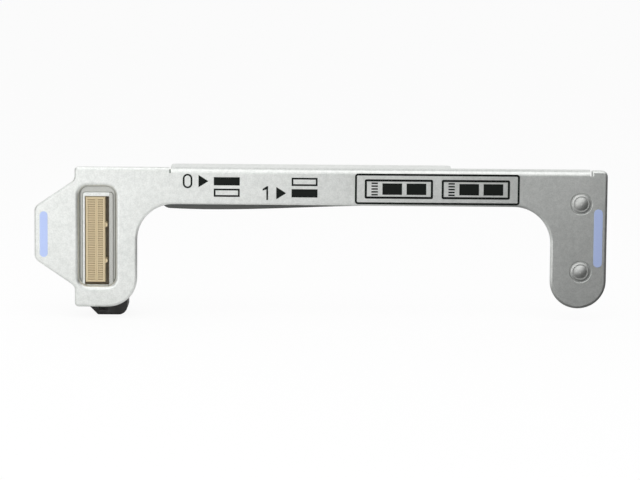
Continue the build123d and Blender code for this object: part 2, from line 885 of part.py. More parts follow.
# Small soldered parts in rows: bulk capacitors, chip resistors and coupling capacitors
coupling_z = plug_height + module_plug_gap / 2
small_parts = {
    "bulk_capacitors": (
        (row_x["bulk_capacitors"], board_beam_mid),
        (bulk_pitch, 0, bulk_count, 1),
        (bulk_width, bulk_height, bulk_thickness),
    ),
    "chip_resistors": (
        (row_x["chip_resistors"], board_beam_mid),
        (0, resistor_pitch, 1, resistor_count),
        (resistor_width, resistor_height, resistor_thickness),
    ),
    "coupling_capacitors": (
        (module_x, coupling_z),
        (coupling_pitch, 0, coupling_count, 1),
        (coupling_width, coupling_height, coupling_thickness),
    ),
}
for name, (middle, grid, (width, height, thickness)) in small_parts.items():
    with BuildPart() as row_of_parts:
        with BuildSketch(facing(board_back + thickness)):
            with Locations(middle):
                with GridLocations(*grid):
                    Rectangle(width, height)
        extrude(amount=thickness)
    row_of_parts.part.label = name
    export_step(row_of_parts.part, f"parts/{name}.step")


# Cable header: an open box with a polarising notch in its upper wall
header_x = row_x["cable_header"]
header_back = board_back + header_depth
header_cavity = header_depth - header_floor
with BuildPart() as cable_header:
    with BuildSketch(facing(header_back)):
        with Locations((header_x, board_beam_mid)):
            RectangleRounded(header_width, header_height, header_corner_round)
    extrude(amount=header_depth)
    with BuildSketch(facing(header_back)):
        with Locations((header_x, board_beam_mid)):
            Rectangle(header_width - 2 * header_wall, header_height - 2 * header_wall)
    extrude(amount=header_cavity, mode=Mode.SUBTRACT)
    with BuildSketch(facing(header_back)):
        with Locations((header_x, board_beam_mid + (header_height - header_wall) / 2)):
            Rectangle(header_notch_width, header_wall)
    extrude(amount=header_notch_depth, mode=Mode.SUBTRACT)
cable_header.part.label = "cable_header"
export_step(cable_header.part, "parts/cable_header.step")


# Header pins: square posts that stand on the header's floor
with BuildPart() as cable_header_pins:
    with BuildSketch(facing(board_back + header_floor + header_pin_length)):
        with Locations((header_x, board_beam_mid)):
            with GridLocations(header_pin_pitch, header_pin_pitch, header_pin_columns, header_pin_rows):
                Rectangle(header_pin_side, header_pin_side)
    extrude(amount=header_pin_length)
cable_header_pins.part.label = "cable_header_pins"
export_step(cable_header_pins.part, "parts/cable_header_pins.step")


# Blue touch marks: printed bars on the tab and on the right leg
touch_marks = {
    "left_touch_mark": (tab_left + left_mark_inset, left_mark_width, left_mark_length),
    "right_touch_mark": (far_right - right_mark_inset, right_mark_width, right_mark_length),
}
for name, (x, width, length) in touch_marks.items():
    with BuildPart() as touch_mark:
        with BuildSketch(facing(plate_front)):
            with Locations((x, touch_mark_z)):
                SlotOverall(length, width, rotation=90)
        extrude(amount=ink)
    touch_mark.part.label = name
    export_step(touch_mark.part, f"parts/{name}.step")


# A black arrow that points right
def arrow(x, z):
    with BuildSketch(mode=Mode.PRIVATE) as shape:
        with BuildLine():
            Polyline(
                (x - arrow_length / 2, z - arrow_height / 2),
                (x + arrow_length / 2, z),
                (x - arrow_length / 2, z + arrow_height / 2),
                close=True,
            )
        make_face()
    return shape.sketch


# Slot 0 marks: digit and arrow in the upper row, where the full bar is, over an open bar
upper_mark_z = marks_z + mark_pitch / 2
lower_mark_z = marks_z - mark_pitch / 2
with BuildPart() as slot_0_marks:
    with BuildSketch(facing(plate_front)):
        with Locations((slot_0_x, upper_mark_z)):
            SlotOverall(zero_height, zero_width, rotation=90)
            SlotOverall(
                zero_height - 2 * mark_line, zero_width - 2 * mark_line, rotation=90, mode=Mode.SUBTRACT
            )
        add(arrow(slot_0_x + arrow_step, upper_mark_z))
        with Locations((slot_0_x + bar_step, upper_mark_z)):
            Rectangle(bar_width, bar_height)
        with Locations((slot_0_x + bar_step, lower_mark_z)):
            Rectangle(bar_width, bar_height)
            Rectangle(bar_width - 2 * mark_line, bar_height - 2 * mark_line, mode=Mode.SUBTRACT)
    extrude(amount=ink)
slot_0_marks.part.label = "slot_0_marks"
export_step(slot_0_marks.part, "parts/slot_0_marks.step")


# Slot 1 marks: digit and arrow in the lower row, where the full bar is, under an open bar
one_foot = lower_mark_z - one_height / 2
one_top = lower_mark_z + one_height / 2
one_stem = slot_1_x + one_width / 2 - mark_line
with BuildPart() as slot_1_marks:
    with BuildSketch(facing(plate_front)):
        with BuildLine():
            Polyline(
                (one_stem, one_foot),
                (one_stem + mark_line, one_foot),
                (one_stem + mark_line, one_top),
                (one_stem + mark_line / 4, one_top),
                (slot_1_x - one_width / 2, one_top - one_width / 2),
                (slot_1_x - one_width / 2, one_top - one_width / 2 - mark_line),
                (one_stem, one_top - one_width / 2 - mark_line / 4),
                close=True,
            )
        make_face()
        add(arrow(slot_1_x + arrow_step, lower_mark_z))
        with Locations((slot_1_x + bar_step, lower_mark_z)):
            Rectangle(bar_width, bar_height)
        with Locations((slot_1_x + bar_step, upper_mark_z)):
            Rectangle(bar_width, bar_height)
            Rectangle(bar_width - 2 * mark_line, bar_height - 2 * mark_line, mode=Mode.SUBTRACT)
    extrude(amount=ink)
slot_1_marks.part.label = "slot_1_marks"
export_step(slot_1_marks.part, "parts/slot_1_marks.step")


# Sign: a printed frame with rounded corners
with BuildPart() as sign_frame:
    with BuildSketch(facing(plate_front)):
        with Locations((sign_x, sign_z)):
            RectangleRounded(sign_width, sign_height, sign_corner_round)
            RectangleRounded(
                sign_width - 2 * sign_line,
                sign_height - 2 * sign_line,
                sign_corner_round - sign_line,
                mode=Mode.SUBTRACT,
            )
    extrude(amount=ink)
sign_frame.part.label = "sign_frame"
export_step(sign_frame.part, "parts/sign_frame.step")


# Pictogram in the sign: two plug-in cards side by side, each an outline with edge contacts and two chips
card_width = (sign_width - 2 * (sign_line + card_side_gap) - card_spacing) / 2
card_height = sign_height - 2 * (sign_line + card_top_gap)
card_inner_width = card_width - 2 * card_line
card_inner_height = card_height - 2 * card_line
card_chip_width = (card_inner_width - card_contact_width - 4 * card_gap) / 2
card_chip_height = card_inner_height - 2 * card_chip_gap
with BuildPart() as sign_cards:
    with BuildSketch(facing(plate_front)):
        for side in (-1, 1):
            card_x = sign_x + side * (card_width + card_spacing) / 2
            contact_x = card_x - card_inner_width / 2 + card_gap + card_contact_width / 2
            first_chip_x = contact_x + card_contact_width / 2 + card_gap + card_chip_width / 2
            with Locations((card_x, sign_z)):
                RectangleRounded(card_width, card_height, card_corner_round)
                Rectangle(card_inner_width, card_inner_height, mode=Mode.SUBTRACT)
            with Locations((contact_x, sign_z)):
                with GridLocations(0, card_contact_pitch, 1, card_contact_rows):
                    Rectangle(card_contact_width, card_contact_height)
            for number in range(2):
                with Locations((first_chip_x + number * (card_chip_width + card_gap), sign_z)):
                    Rectangle(card_chip_width, card_chip_height)
    extrude(amount=ink)
sign_cards.part.label = "sign_cards"
export_step(sign_cards.part, "parts/sign_cards.step")
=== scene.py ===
import math

import bmesh
import bpy
from mathutils import Matrix, Vector


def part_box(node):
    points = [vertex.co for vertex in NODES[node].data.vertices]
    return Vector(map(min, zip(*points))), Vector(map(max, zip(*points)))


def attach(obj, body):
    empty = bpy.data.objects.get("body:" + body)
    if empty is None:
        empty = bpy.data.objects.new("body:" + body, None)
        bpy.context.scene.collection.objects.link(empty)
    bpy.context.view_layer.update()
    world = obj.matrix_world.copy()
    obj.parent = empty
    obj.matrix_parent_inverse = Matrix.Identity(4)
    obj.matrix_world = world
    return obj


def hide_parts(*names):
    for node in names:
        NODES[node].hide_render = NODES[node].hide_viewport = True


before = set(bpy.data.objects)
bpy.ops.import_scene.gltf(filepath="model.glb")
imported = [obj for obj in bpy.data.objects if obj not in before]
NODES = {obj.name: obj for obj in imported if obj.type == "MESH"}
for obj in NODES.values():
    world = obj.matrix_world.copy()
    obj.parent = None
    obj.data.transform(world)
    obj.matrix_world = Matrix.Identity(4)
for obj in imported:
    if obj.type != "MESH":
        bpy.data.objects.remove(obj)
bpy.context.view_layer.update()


# The pale floor that the card stands on, on the lower face of its plug. It is one wide
# plain sheet, near white where it is seen, with the card's soft shadow. To the right of the
# card it is painted grey for every ray but the camera's. This is painted shade, which the
# metal reflects, so that the card is darker on its right.
class Tone:
    """One output of a node tree. Arithmetic on it adds Math nodes, and node() any other."""

    def __init__(self, socket):
        self.socket = socket

    def node(self, kind, settings=(), inputs=(), output=0):
        tree = self.socket.id_data
        added = tree.nodes.new(kind)
        for name, value in dict(settings).items():
            setattr(added, name, value)
        for name, value in dict(inputs).items():
            if isinstance(value, Tone):
                tree.links.new(value.socket, added.inputs[name])
            else:
                added.inputs[name].default_value = value
        return Tone(added.outputs[output])

    def math(self, operation, first, second):
        return self.node("ShaderNodeMath", {"operation": operation}, {0: first, 1: second})

    def __add__(self, other):
        return self.math("ADD", self, other)

    def __radd__(self, other):
        return self.math("ADD", other, self)

    def __sub__(self, other):
        return self.math("SUBTRACT", self, other)

    def __rsub__(self, other):
        return self.math("SUBTRACT", other, self)

    def __mul__(self, other):
        return self.math("MULTIPLY", self, other)

    def __rmul__(self, other):
        return self.math("MULTIPLY", other, self)

    def __gt__(self, other):
        return self.math("GREATER_THAN", self, other)

    def __lt__(self, other):
        return self.math("LESS_THAN", self, other)


def new_finish(name):
    """An empty material, and the object coordinates that its patterns read."""
    material = bpy.data.materials.new(name)
    material.use_nodes = True
    place = Tone(material.node_tree.nodes.new("ShaderNodeTexCoord").outputs["Object"])
    return material, place


def dress(material, **sockets):
    """Sets or links the sockets of the material's shader; a space in a name is written as _."""
    shader = material.node_tree.nodes["Principled BSDF"]
    for name, value in sockets.items():
        socket = shader.inputs[name.replace("_", " ")]
        if isinstance(value, Tone):
            material.node_tree.links.new(value.socket, socket)
        elif isinstance(value, tuple):
            socket.default_value = (*value, 1.0)
        else:
            socket.default_value = value


def grain(place, size, detail=2.0, roughness=0.5):
    """Soft noise from 0 to 1 whose spots are about size metres wide."""
    return place.node(
        "ShaderNodeTexNoise", {},
        {"Vector": place, "Scale": 1 / size, "Detail": detail, "Roughness": roughness},
    )


MIX_FACTOR, MIX_LOW, MIX_HIGH, MIX_COLOUR = 0, 6, 7, 2      # a Mix node's sockets for colour


def blend(factor, low, high):
    """A colour between low and high."""
    low, high = (end if isinstance(end, Tone) else (*end, 1.0) for end in (low, high))
    return factor.node(
        "ShaderNodeMix", {"data_type": "RGBA"},
        {MIX_FACTOR: factor, MIX_LOW: low, MIX_HIGH: high}, MIX_COLOUR,
    )


def between(value, low, high):
    """Rises smoothly from 0 at low to 1 at high."""
    return value.node(
        "ShaderNodeMapRange", {"interpolation_type": "SMOOTHSTEP"},
        {"Value": value, "From Min": low, "From Max": high},
    )


def parts_of(place):
    """The x, y and z of a place."""
    split = place.node("ShaderNodeSeparateXYZ", {}, {0: place})
    return [Tone(split.socket.node.outputs[name]) for name in "XYZ"]


def primitive(add, **settings):
    """Adds one of Blender's primitives, and applies its place and turn to its mesh."""
    bpy.ops.object.select_all(action="DESELECT")
    add(**settings)
    bpy.ops.object.transform_apply(location=True, rotation=True, scale=True)
    return bpy.context.object


MM = 0.001
FLOOR_WIDTH = 6.0
FLOOR_MIDDLE = (0.075, 0, 0)
FLOOR_WHITE = (0.95, 0.95, 0.95)
FLOOR_SHADE_GREY = (0.05, 0.05, 0.05)
FLOOR_GLOW = 0.9                        # how far the camera sees plain white in its place
FLOOR_SHADE_FROM, FLOOR_SHADE_TO = 0.04, 0.19         # metres to the right of the plug
FIBRE_SIZE = 4 * MM
FIBRE_SHARE = 0.04
floor = primitive(bpy.ops.mesh.primitive_plane_add, size=FLOOR_WIDTH, location=FLOOR_MIDDLE)
floor.name = "pale_floor"
floor_paper, paper_place = new_finish("floor_paper")
floor_tree = floor_paper.node_tree
seen = Tone(floor_tree.nodes.new("ShaderNodeLightPath").outputs["Is Camera Ray"])
fibre = grain(paper_place, FIBRE_SIZE, detail=4.0)
floor_x = parts_of(paper_place)[0]
# Painted shade: grey to the right of the card, seen only in reflections and bounced light, which
# darkens the card's right side.
floor_painted_shade = between(floor_x, FLOOR_SHADE_FROM, FLOOR_SHADE_TO) * (1 - seen)
floor_mix = floor_painted_shade * (1 - FIBRE_SHARE) + fibre * FIBRE_SHARE
dress(floor_paper, Base_Color=blend(floor_mix, FLOOR_WHITE, FLOOR_SHADE_GREY), Roughness=0.9)
glow = seen.node("ShaderNodeEmission", {}, {"Color": (1, 1, 1, 1), "Strength": 1.0})
paper_shader = Tone(floor_tree.nodes["Principled BSDF"].outputs["BSDF"])
lit = seen.node("ShaderNodeMixShader", {}, {0: seen * FLOOR_GLOW, 1: paper_shader, 2: glow})
floor_tree.links.new(lit.socket, floor_tree.nodes["Material Output"].inputs["Surface"])
floor.data.materials.append(floor_paper)


# The room round the card: white where the camera looks at it. Its light is a soft dome,
# brightest behind the card, a little softer overhead and on the left, and dark in front and
# on the right, where the photograph's card is darker too.
def larger(first, second):
    """The larger of two tones at each place."""
    return first.math("MAXIMUM", first, second)


LEFT_LIGHT = 0.58
OVERHEAD_LIGHT = 0.7
LEFT_UP_TO, LEFT_ENDS = -0.55, 0.45     # these six are directions, from -1 to 1
BEHIND_FROM, BEHIND_FULL = 0.0, 0.6
OVERHEAD_FROM, OVERHEAD_FULL = 0.42, 0.8
room = bpy.data.worlds.new("soft_room")
bpy.context.scene.world = room
room.use_nodes = True
room_tree = room.node_tree
sky = Tone(room_tree.nodes.new("ShaderNodeTexCoord").outputs["Generated"])
sky_x, sky_y, sky_z = parts_of(sky)
left_light = (1 - between(sky_x, LEFT_UP_TO, LEFT_ENDS)) * LEFT_LIGHT
back_light = between(sky_y, BEHIND_FROM, BEHIND_FULL)
overhead_light = between(sky_z, OVERHEAD_FROM, OVERHEAD_FULL) * OVERHEAD_LIGHT
dome = larger(left_light, larger(back_light, overhead_light))
room_seen = Tone(room_tree.nodes.new("ShaderNodeLightPath").outputs["Is Camera Ray"])
strength = dome * (1 - room_seen) + room_seen
room_light = room_tree.nodes["Background"]
room_light.inputs["Color"].default_value = (1, 1, 1, 1)
room_tree.links.new(strength.socket, room_light.inputs["Strength"])


# The lamps: a broad soft one close by at the left front, which falls off along the beam, a
# wider one high in front that lights the prints evenly, and a small one overhead on the left.
def lamp(name, size, at, towards, watts):
    """A square area lamp, size metres wide, aimed at a point."""
    light = bpy.data.lights.new(name, "AREA")
    light.shape = "SQUARE"
    light.size = size
    light.energy = watts
    body = bpy.data.objects.new(name, light)
    bpy.context.scene.collection.objects.link(body)
    aim = Vector(towards) - Vector(at)
    body.matrix_world = (
        Matrix.Translation(at) @ aim.to_track_quat("-Z", "Y").to_matrix().to_4x4()
    )
    body.visible_camera = False


lamp("left_front_lamp", size=0.30, at=(-0.18, -0.50, 0.06), towards=(-0.02, 0, 0.03), watts=0.49)
lamp("high_front_lamp", size=0.90, at=(0.17, -0.52, 0.50), towards=(0.10, 0, 0.03), watts=2.45)
lamp("overhead_lamp", size=0.24, at=(-0.12, -0.02, 0.26), towards=(-0.09, 0, 0), watts=0.12)


# The camera, at the photograph's height and distance: a long lens, 8 degrees above the
# level of the card, turned half a degree about its own axis.
CAMERA_AT = (0.07415, -1.116, 0.183)
CAMERA_LOOK = (0.07415, -0.0139, 0.0282)
CAMERA_ROLL = math.radians(0.45)
eye = bpy.data.cameras.new("photo_camera")
eye.sensor_width = 36.0
eye.lens = 180.0
eye.clip_start = 0.01
eye.clip_end = 20.0
camera = bpy.data.objects.new("photo_camera", eye)
bpy.context.scene.collection.objects.link(camera)
sight = (Vector(CAMERA_LOOK) - Vector(CAMERA_AT)).to_track_quat("-Z", "Y").to_matrix().to_4x4()
camera.matrix_world = (
    Matrix.Translation(CAMERA_AT) @ sight @ Matrix.Rotation(CAMERA_ROLL, 4, "Z")
)
bpy.context.scene.camera = camera
bpy.context.scene.view_settings.view_transform = "Standard"


# The bracket: zinc-coated sheet steel 1 mm thick, pressed and folded in a die. The matte
# coating is speckled, with faint clouds. The floor of the window's pan and the right of the
# lip round the window are painted darker. This is painted shade for the shadow in the recess.
SPECK_SHARE, MOTTLE_SHARE, CLOUD_SHARE = 0.6, 0.16, 0.24
PAN_SHADE_FROM, PAN_SHADE_FULL, PAN_SHADE_BACK = -12.0 * MM, -11.6 * MM, -10.0 * MM
PAN_SHADE_LEFT, PAN_SHADE_RIGHT = -9.8 * MM, 3.1 * MM
PAN_SHADE_FOOT, PAN_SHADE_TOP = 11.2 * MM, 46.6 * MM
LIP_SHADE_FROM, LIP_SHADE_LEFT = -12.6 * MM, 0.65 * MM


def coat(node, finish):
    """Puts a finish on all of a CAD node."""
    mesh = NODES[node].data
    mesh.materials.clear()
    mesh.materials.append(finish)


def relief(height, depth, strength=1.0):
    """A bump whose full height is depth metres."""
    return height.node(
        "ShaderNodeBump", {}, {"Height": height, "Distance": depth, "Strength": strength}
    )


zinc_sheet, zinc_place = new_finish("zinc_sheet")
speck = grain(zinc_place, 0.5 * MM, detail=3.0, roughness=0.6)
mottle = between(grain(zinc_place, 1.6 * MM), 0.25, 0.75)
cloud = grain(zinc_place, 14 * MM, detail=3.0)
zinc_mix = speck * SPECK_SHARE + mottle * MOTTLE_SHARE + cloud * CLOUD_SHARE
zinc_tone = blend(zinc_mix, (0.495, 0.515, 0.495), (0.965, 0.98, 0.96))
zinc_x, zinc_y, zinc_z = parts_of(zinc_place)
# Painted shade: the pan's floor and the right of its lip are coloured darker, for the shadow in
# the recess.
lip_painted_shade = (zinc_y > LIP_SHADE_FROM) * (zinc_x > LIP_SHADE_LEFT)
pan_painted_shade = larger(between(zinc_y, PAN_SHADE_FROM, PAN_SHADE_FULL), lip_painted_shade) * (zinc_y < PAN_SHADE_BACK)
pan_painted_shade = pan_painted_shade * (zinc_x > PAN_SHADE_LEFT) * (zinc_x < PAN_SHADE_RIGHT)
pan_painted_shade = pan_painted_shade * (zinc_z > PAN_SHADE_FOOT) * (zinc_z < PAN_SHADE_TOP)
pan_shade_tone = blend(speck, (0.40, 0.405, 0.38), (0.58, 0.585, 0.555))
dress(
    zinc_sheet,
    Base_Color=blend(pan_painted_shade, zinc_tone, pan_shade_tone),
    Metallic=1.0,
    Roughness=0.36 + speck * 0.10 + cloud * 0.04,
    Normal=relief(speck * 0.3 + mottle * 0.7, 0.015 * MM, 0.7),
)
coat("bracket", zinc_sheet)


# The two rivet standoffs on the right leg: turned steel, zinc plated, each riveted over on
# the front into a low dome, with an M3 thread cut in its bore behind.
THREAD_PITCH = 0.5 * MM
THREAD_RADIUS = 1.5 * MM
THREAD_DEPTH = 0.2 * MM
THREAD_TURNS = 12
THREAD_STEPS = 20                       # for each turn
THREAD_LEAD_IN = 0.4 * MM
RIDGE_SIDES = 3
plated, plated_place = new_finish("zinc_plated_steel")
plated_speck = grain(plated_place, 0.3 * MM)
dress(
    plated,
    Base_Color=blend(plated_speck, (0.50, 0.51, 0.50), (0.66, 0.67, 0.65)),
    Metallic=1.0,
    Roughness=0.46 + plated_speck * 0.12,
    Normal=relief(plated_speck, 0.008 * MM, 0.5),
)


def select_only(piece):
    """Makes this piece the only selected one, and the active one."""
    bpy.ops.object.select_all(action="DESELECT")
    piece.select_set(True)
    bpy.context.view_layer.objects.active = piece


def enter(piece):
    """Opens this piece alone in edit mode."""
    select_only(piece)
    bpy.ops.object.mode_set(mode="EDIT")


def leave():
    """Goes back to object mode."""
    bpy.ops.object.mode_set(mode="OBJECT")


def apply_modifier(piece, kind, **settings):
    """Adds a modifier with these settings and applies it at once."""
    select_only(piece)
    modifier = piece.modifiers.new("shape", kind)
    for name, value in settings.items():
        setattr(modifier, name, value)
    bpy.ops.object.modifier_apply(modifier=modifier.name)


def finished(piece, slot, *nodes):
    """Lets a piece ride on the card, in place of the named nodes, which it hides; the slot is
    not used.
    """
    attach(piece, "root")
    if nodes:
        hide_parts(*nodes)


def thread_in(name, axis_x, mouth_y, axis_z):
    """A screw thread's ridge on the wall of a bore that opens to the back."""
    ridge = primitive(
        bpy.ops.mesh.primitive_circle_add, vertices=RIDGE_SIDES, radius=THREAD_DEPTH,
        fill_type="NOTHING", location=(THREAD_RADIUS, 0, 0), rotation=(0, 0, math.pi / 2),
    )
    apply_modifier(
        ridge, "SCREW", axis="Y", screw_offset=-THREAD_PITCH * THREAD_TURNS, iterations=1,
        angle=math.tau * THREAD_TURNS, steps=THREAD_STEPS * THREAD_TURNS,
        render_steps=THREAD_STEPS * THREAD_TURNS, use_smooth_shade=False,
    )
    ridge.data.transform(Matrix.Translation((axis_x, mouth_y - THREAD_LEAD_IN, axis_z)))
    enter(ridge)
    bpy.ops.mesh.select_all(action="SELECT")
    bpy.ops.mesh.fill_holes(sides=RIDGE_SIDES)
    bpy.ops.mesh.select_all(action="SELECT")
    bpy.ops.mesh.normals_make_consistent(inside=False)
    leave()
    ridge.name = ridge.data.name = name
    ridge.data.materials.append(plated)
    return ridge


for post in ("upper_rivet_standoff", "lower_rivet_standoff"):
    coat(post, plated)
    low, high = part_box(post)
    middle = (low + high) / 2
    thread = thread_in(post.replace("standoff", "thread"), middle.x, high.y, middle.z)
    finished(thread, "plated_steel")


# The three board standoffs: threaded steel posts, zinc plated like the rivets, that butt
# against the back of the sheet and carry the board.
coat("board_standoffs", plated)


# The insulating film: dark polyester between the sheet and the board, bowed a little below
# the beam. It is smooth, with a faint haze.
film, film_place = new_finish("dark_polyester")
haze = grain(film_place, 6 * MM, detail=3.0)
dress(
    film,
    Base_Color=blend(haze, (0.050, 0.053, 0.050), (0.075, 0.079, 0.075)),
    Roughness=0.34 + haze * 0.12,
)
coat("insulating_film", film)


# The riser board: glass-fibre laminate under a green solder mask, a little lighter over
# copper. Its cut edges show the yellow-green laminate. Round the front socket its face is
# painted dark brown. This is painted shade for the shadowed gap between the socket and the
# window.
BOARD_LOW, BOARD_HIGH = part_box("riser_board")
BOARD_FRONT, BOARD_BACK = BOARD_LOW.y, BOARD_HIGH.y
EDGE_SLACK = 0.05 * MM
GAP_SHADE_MARGIN = 2.5 * MM
mask, mask_place = new_finish("green_solder_mask")
weave = grain(mask_place, 0.5 * MM)
pour = grain(mask_place, 9 * MM, detail=0.0)
mask_x, mask_y, mask_z = parts_of(mask_place)
socket_low, socket_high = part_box("front_socket")
on_front = mask_y < BOARD_FRONT + EDGE_SLACK
# Painted shade: dark brown on the board's front round the front socket, for the shadowed gap
# there.
socket_gap_shade = on_front * (mask_z > socket_low.z - GAP_SHADE_MARGIN) * (mask_z < socket_high.z + GAP_SHADE_MARGIN)
socket_gap_shade = socket_gap_shade * (mask_x > socket_low.x - GAP_SHADE_MARGIN) * (mask_x < socket_high.x + GAP_SHADE_MARGIN)
on_a_face = (mask_y > BOARD_BACK - EDGE_SLACK) + on_front
mask_green = blend(pour, (0.012, 0.085, 0.040), (0.018, 0.125, 0.058))
board_tone = blend(on_a_face, (0.26, 0.27, 0.12), mask_green)
dress(
    mask,
    Base_Color=blend(socket_gap_shade, board_tone, (0.20, 0.16, 0.11)),
    Roughness=0.62 - on_a_face * 0.34 + weave * 0.10,
    Normal=relief(weave, 0.006 * MM, 0.4),
)
coat("riser_board", mask)


# Copper tracks on the back of the board, which the solder mask covers as low ridges: lanes
# along the beam to the signal repeaters and the cable header, links from one module socket
# to the other, and a fan of short runs above them. Their sizes are in mm.
TRACK_RADIUS = 0.09 * MM
TRACK_SINK = 0.055 * MM
LANES = 4
LANE_STEP = 0.42
TOP_LANE = 50.9                         # the lanes along the beam's top
TOP_LANE_LEFT, TOP_LANE_RIGHT = 11.0, 49.4
TOP_LANE_TAIL, TOP_LANE_CLIMB = 1.6, 3.2
TOP_LANE_DIP = 0.8
TOP_PAIR_STEP = 6.9
TOP_PAIR_ENDS = (50.0, 49.9)
LOW_LANE = 42.3                         # the lanes along the beam's lower edge
LOW_LANE_LEFT, LOW_LANE_RIGHT = 18.4, 61.6
LOW_JOG_AT, LOW_JOG_STEP, LOW_JOG = 46.5, 1.6, 0.5
HEADER_TURN = (63.2, 44.0)
HEADER_END = (64.6, 44.2)
LINKS = 8                               # between the two module sockets
LINK_FROM, LINK_PITCH = 3.4, 2.0
LINK_RISE, LINK_JOG = 2.6, 0.9
FANS = 5                                # above the upper module socket
FAN_FROM, FAN_PITCH = 8.6, 0.7
FAN_RISE, FAN_STEP, FAN_JOG = 2.0, 0.5, 1.2
track_green, track_place = new_finish("masked_copper")
track_speck = grain(track_place, 0.4 * MM)
dress(
    track_green,
    Base_Color=blend(track_speck, (0.026, 0.185, 0.082), (0.038, 0.230, 0.105)),
    Roughness=0.26 + track_speck * 0.10,
)


def wires(name, routes, radius, sink):
    """Thin round lines that lie half sunk in the board's back; each route is (x, z) in mm."""
    lines = bpy.data.curves.new(name, "CURVE")
    lines.dimensions = "3D"
    lines.bevel_depth = radius
    lines.bevel_resolution = 1
    lines.use_fill_caps = True
    for route in routes:
        spline = lines.splines.new("POLY")
        spline.points.add(len(route) - 1)
        for point, (x, z) in zip(spline.points, route):
            point.co = (x * MM, BOARD_BACK - sink, z * MM, 1)
    holder = bpy.data.objects.new(name, lines)
    bpy.context.scene.collection.objects.link(holder)
    select_only(holder)
    bpy.ops.object.convert(target="MESH")
    return bpy.context.object


slot_low, slot_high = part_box("slot_0_socket")
slot_left, slot_foot, slot_top = slot_low.x / MM, slot_low.z / MM, slot_high.z / MM
lower_slot_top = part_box("slot_1_socket")[1].z / MM
track_routes = []
for lane in range(LANES):
    z = TOP_LANE - lane * LANE_STEP
    left = TOP_LANE_LEFT - lane * LANE_STEP
    pair, half = divmod(lane, 2)
    right = TOP_LANE_RIGHT + pair * TOP_PAIR_STEP + half * LANE_STEP
    track_routes.append([
        (left - TOP_LANE_CLIMB - TOP_LANE_TAIL, z - TOP_LANE_CLIMB),
        (left - TOP_LANE_CLIMB, z - TOP_LANE_CLIMB),
        (left, z),
        (right, z),
        (right + TOP_LANE_DIP, z - TOP_LANE_DIP),
        (right + TOP_LANE_DIP, TOP_PAIR_ENDS[pair]),
    ])
for lane in range(LANES):
    z = LOW_LANE + lane * LANE_STEP
    jog = LOW_JOG_AT + lane * LOW_JOG_STEP
    track_routes.append([
        (LOW_LANE_LEFT + lane * LANE_STEP, z),
        (jog, z),
        (jog + LOW_JOG, z + LOW_JOG),
        (LOW_LANE_RIGHT, z + LOW_JOG),
        (HEADER_TURN[0] + lane * LANE_STEP, HEADER_TURN[1]),
        (HEADER_END[0], HEADER_END[1] + lane * LANE_STEP),
    ])
for link in range(LINKS):
    x = slot_left + LINK_FROM + link * LINK_PITCH
    track_routes.append([
        (x, lower_slot_top),
        (x, lower_slot_top + LINK_RISE),
        (x + LINK_JOG, lower_slot_top + LINK_RISE + LINK_JOG),
        (x + LINK_JOG, slot_foot),
    ])
for fan in range(FANS):
    x = slot_left + FAN_FROM + fan * FAN_PITCH
    bend = slot_top + FAN_RISE + fan * FAN_STEP
    track_routes.append([(x, slot_top), (x, bend), (x + FAN_JOG, bend + FAN_JOG)])
tracks = wires("board_tracks", track_routes, TRACK_RADIUS, TRACK_SINK)
tracks.data.materials.append(track_green)
finished(tracks, "board_laminate")


# The vias: plated holes at the ends of the tracks, and in short rows that join the board's
# earth layers. Each shows as a low ring under the solder mask.
VIA_RADIUS = 0.24 * MM
VIA_WALL = 0.08 * MM
VIA_FLATTEN = 0.5
EARTH_VIAS = 3                          # in each row; a row is its first x, pitch and z in mm
EARTH_ROWS = ((-9.3, 0.9, 45.0), (31.6, 1.5, 51.0), (71.0, 1.2, 51.0))


def joined(name, pieces):
    """Joins pieces into one that carries the name."""
    bpy.ops.object.select_all(action="DESELECT")
    for piece in pieces:
        piece.select_set(True)
    bpy.context.view_layer.objects.active = pieces[0]
    bpy.ops.object.join()
    whole = bpy.context.object
    whole.name = whole.data.name = name
    return whole


def twin(piece, matrix):
    """A copy of a piece with its own mesh, moved by a matrix."""
    copy = piece.copy()
    copy.data = piece.data.copy()
    copy.data.transform(matrix)
    bpy.context.scene.collection.objects.link(copy)
    return copy


via_places = []
for route in track_routes:
    via_places += [route[0], route[-1]]
for number in range(EARTH_VIAS):
    via_places += [(first + number * pitch, z) for first, pitch, z in EARTH_ROWS]
first_via = primitive(
    bpy.ops.mesh.primitive_torus_add, major_radius=VIA_RADIUS, minor_radius=VIA_WALL,
    major_segments=12, minor_segments=6, rotation=(math.pi / 2, 0, 0),
)
enter(first_via)
bpy.ops.mesh.select_all(action="SELECT")
bpy.ops.transform.resize(value=(1, VIA_FLATTEN, 1), center_override=(0, 0, 0))
leave()
vias = joined("board_vias", [
    twin(first_via, Matrix.Translation((x * MM, BOARD_BACK, z * MM))) for x, z in via_places
])
bpy.data.objects.remove(first_via)
vias.data.materials.append(track_green)
bpy.ops.object.shade_smooth()
finished(vias, "board_laminate")


# The earth rings: bare copper, tinned, round each board screw on the back of the board. The
# screw's head presses on its ring and earths the board to its standoff.
RING_RADIUS = 3.1 * MM
RING_HEIGHT = 0.05 * MM
RING_ROUND = 0.02 * MM
SCREW_SPANS = ((-30, 0), (0, 40), (40, 100))      # mm along the board, with one screw in each
ROUND_ANGLE = math.radians(35)


def soften(piece, width, segments=2):
    """Rounds the sharp edges of a piece, and shades it smooth between them."""
    apply_modifier(
        piece, "BEVEL", width=width, segments=segments, limit_method="ANGLE",
        angle_limit=ROUND_ANGLE, miter_outer="MITER_ARC",
    )
    bpy.ops.object.shade_smooth_by_angle(angle=ROUND_ANGLE)


def middle_of(values):
    """Halfway between the lowest and the highest."""
    return (min(values) + max(values)) / 2


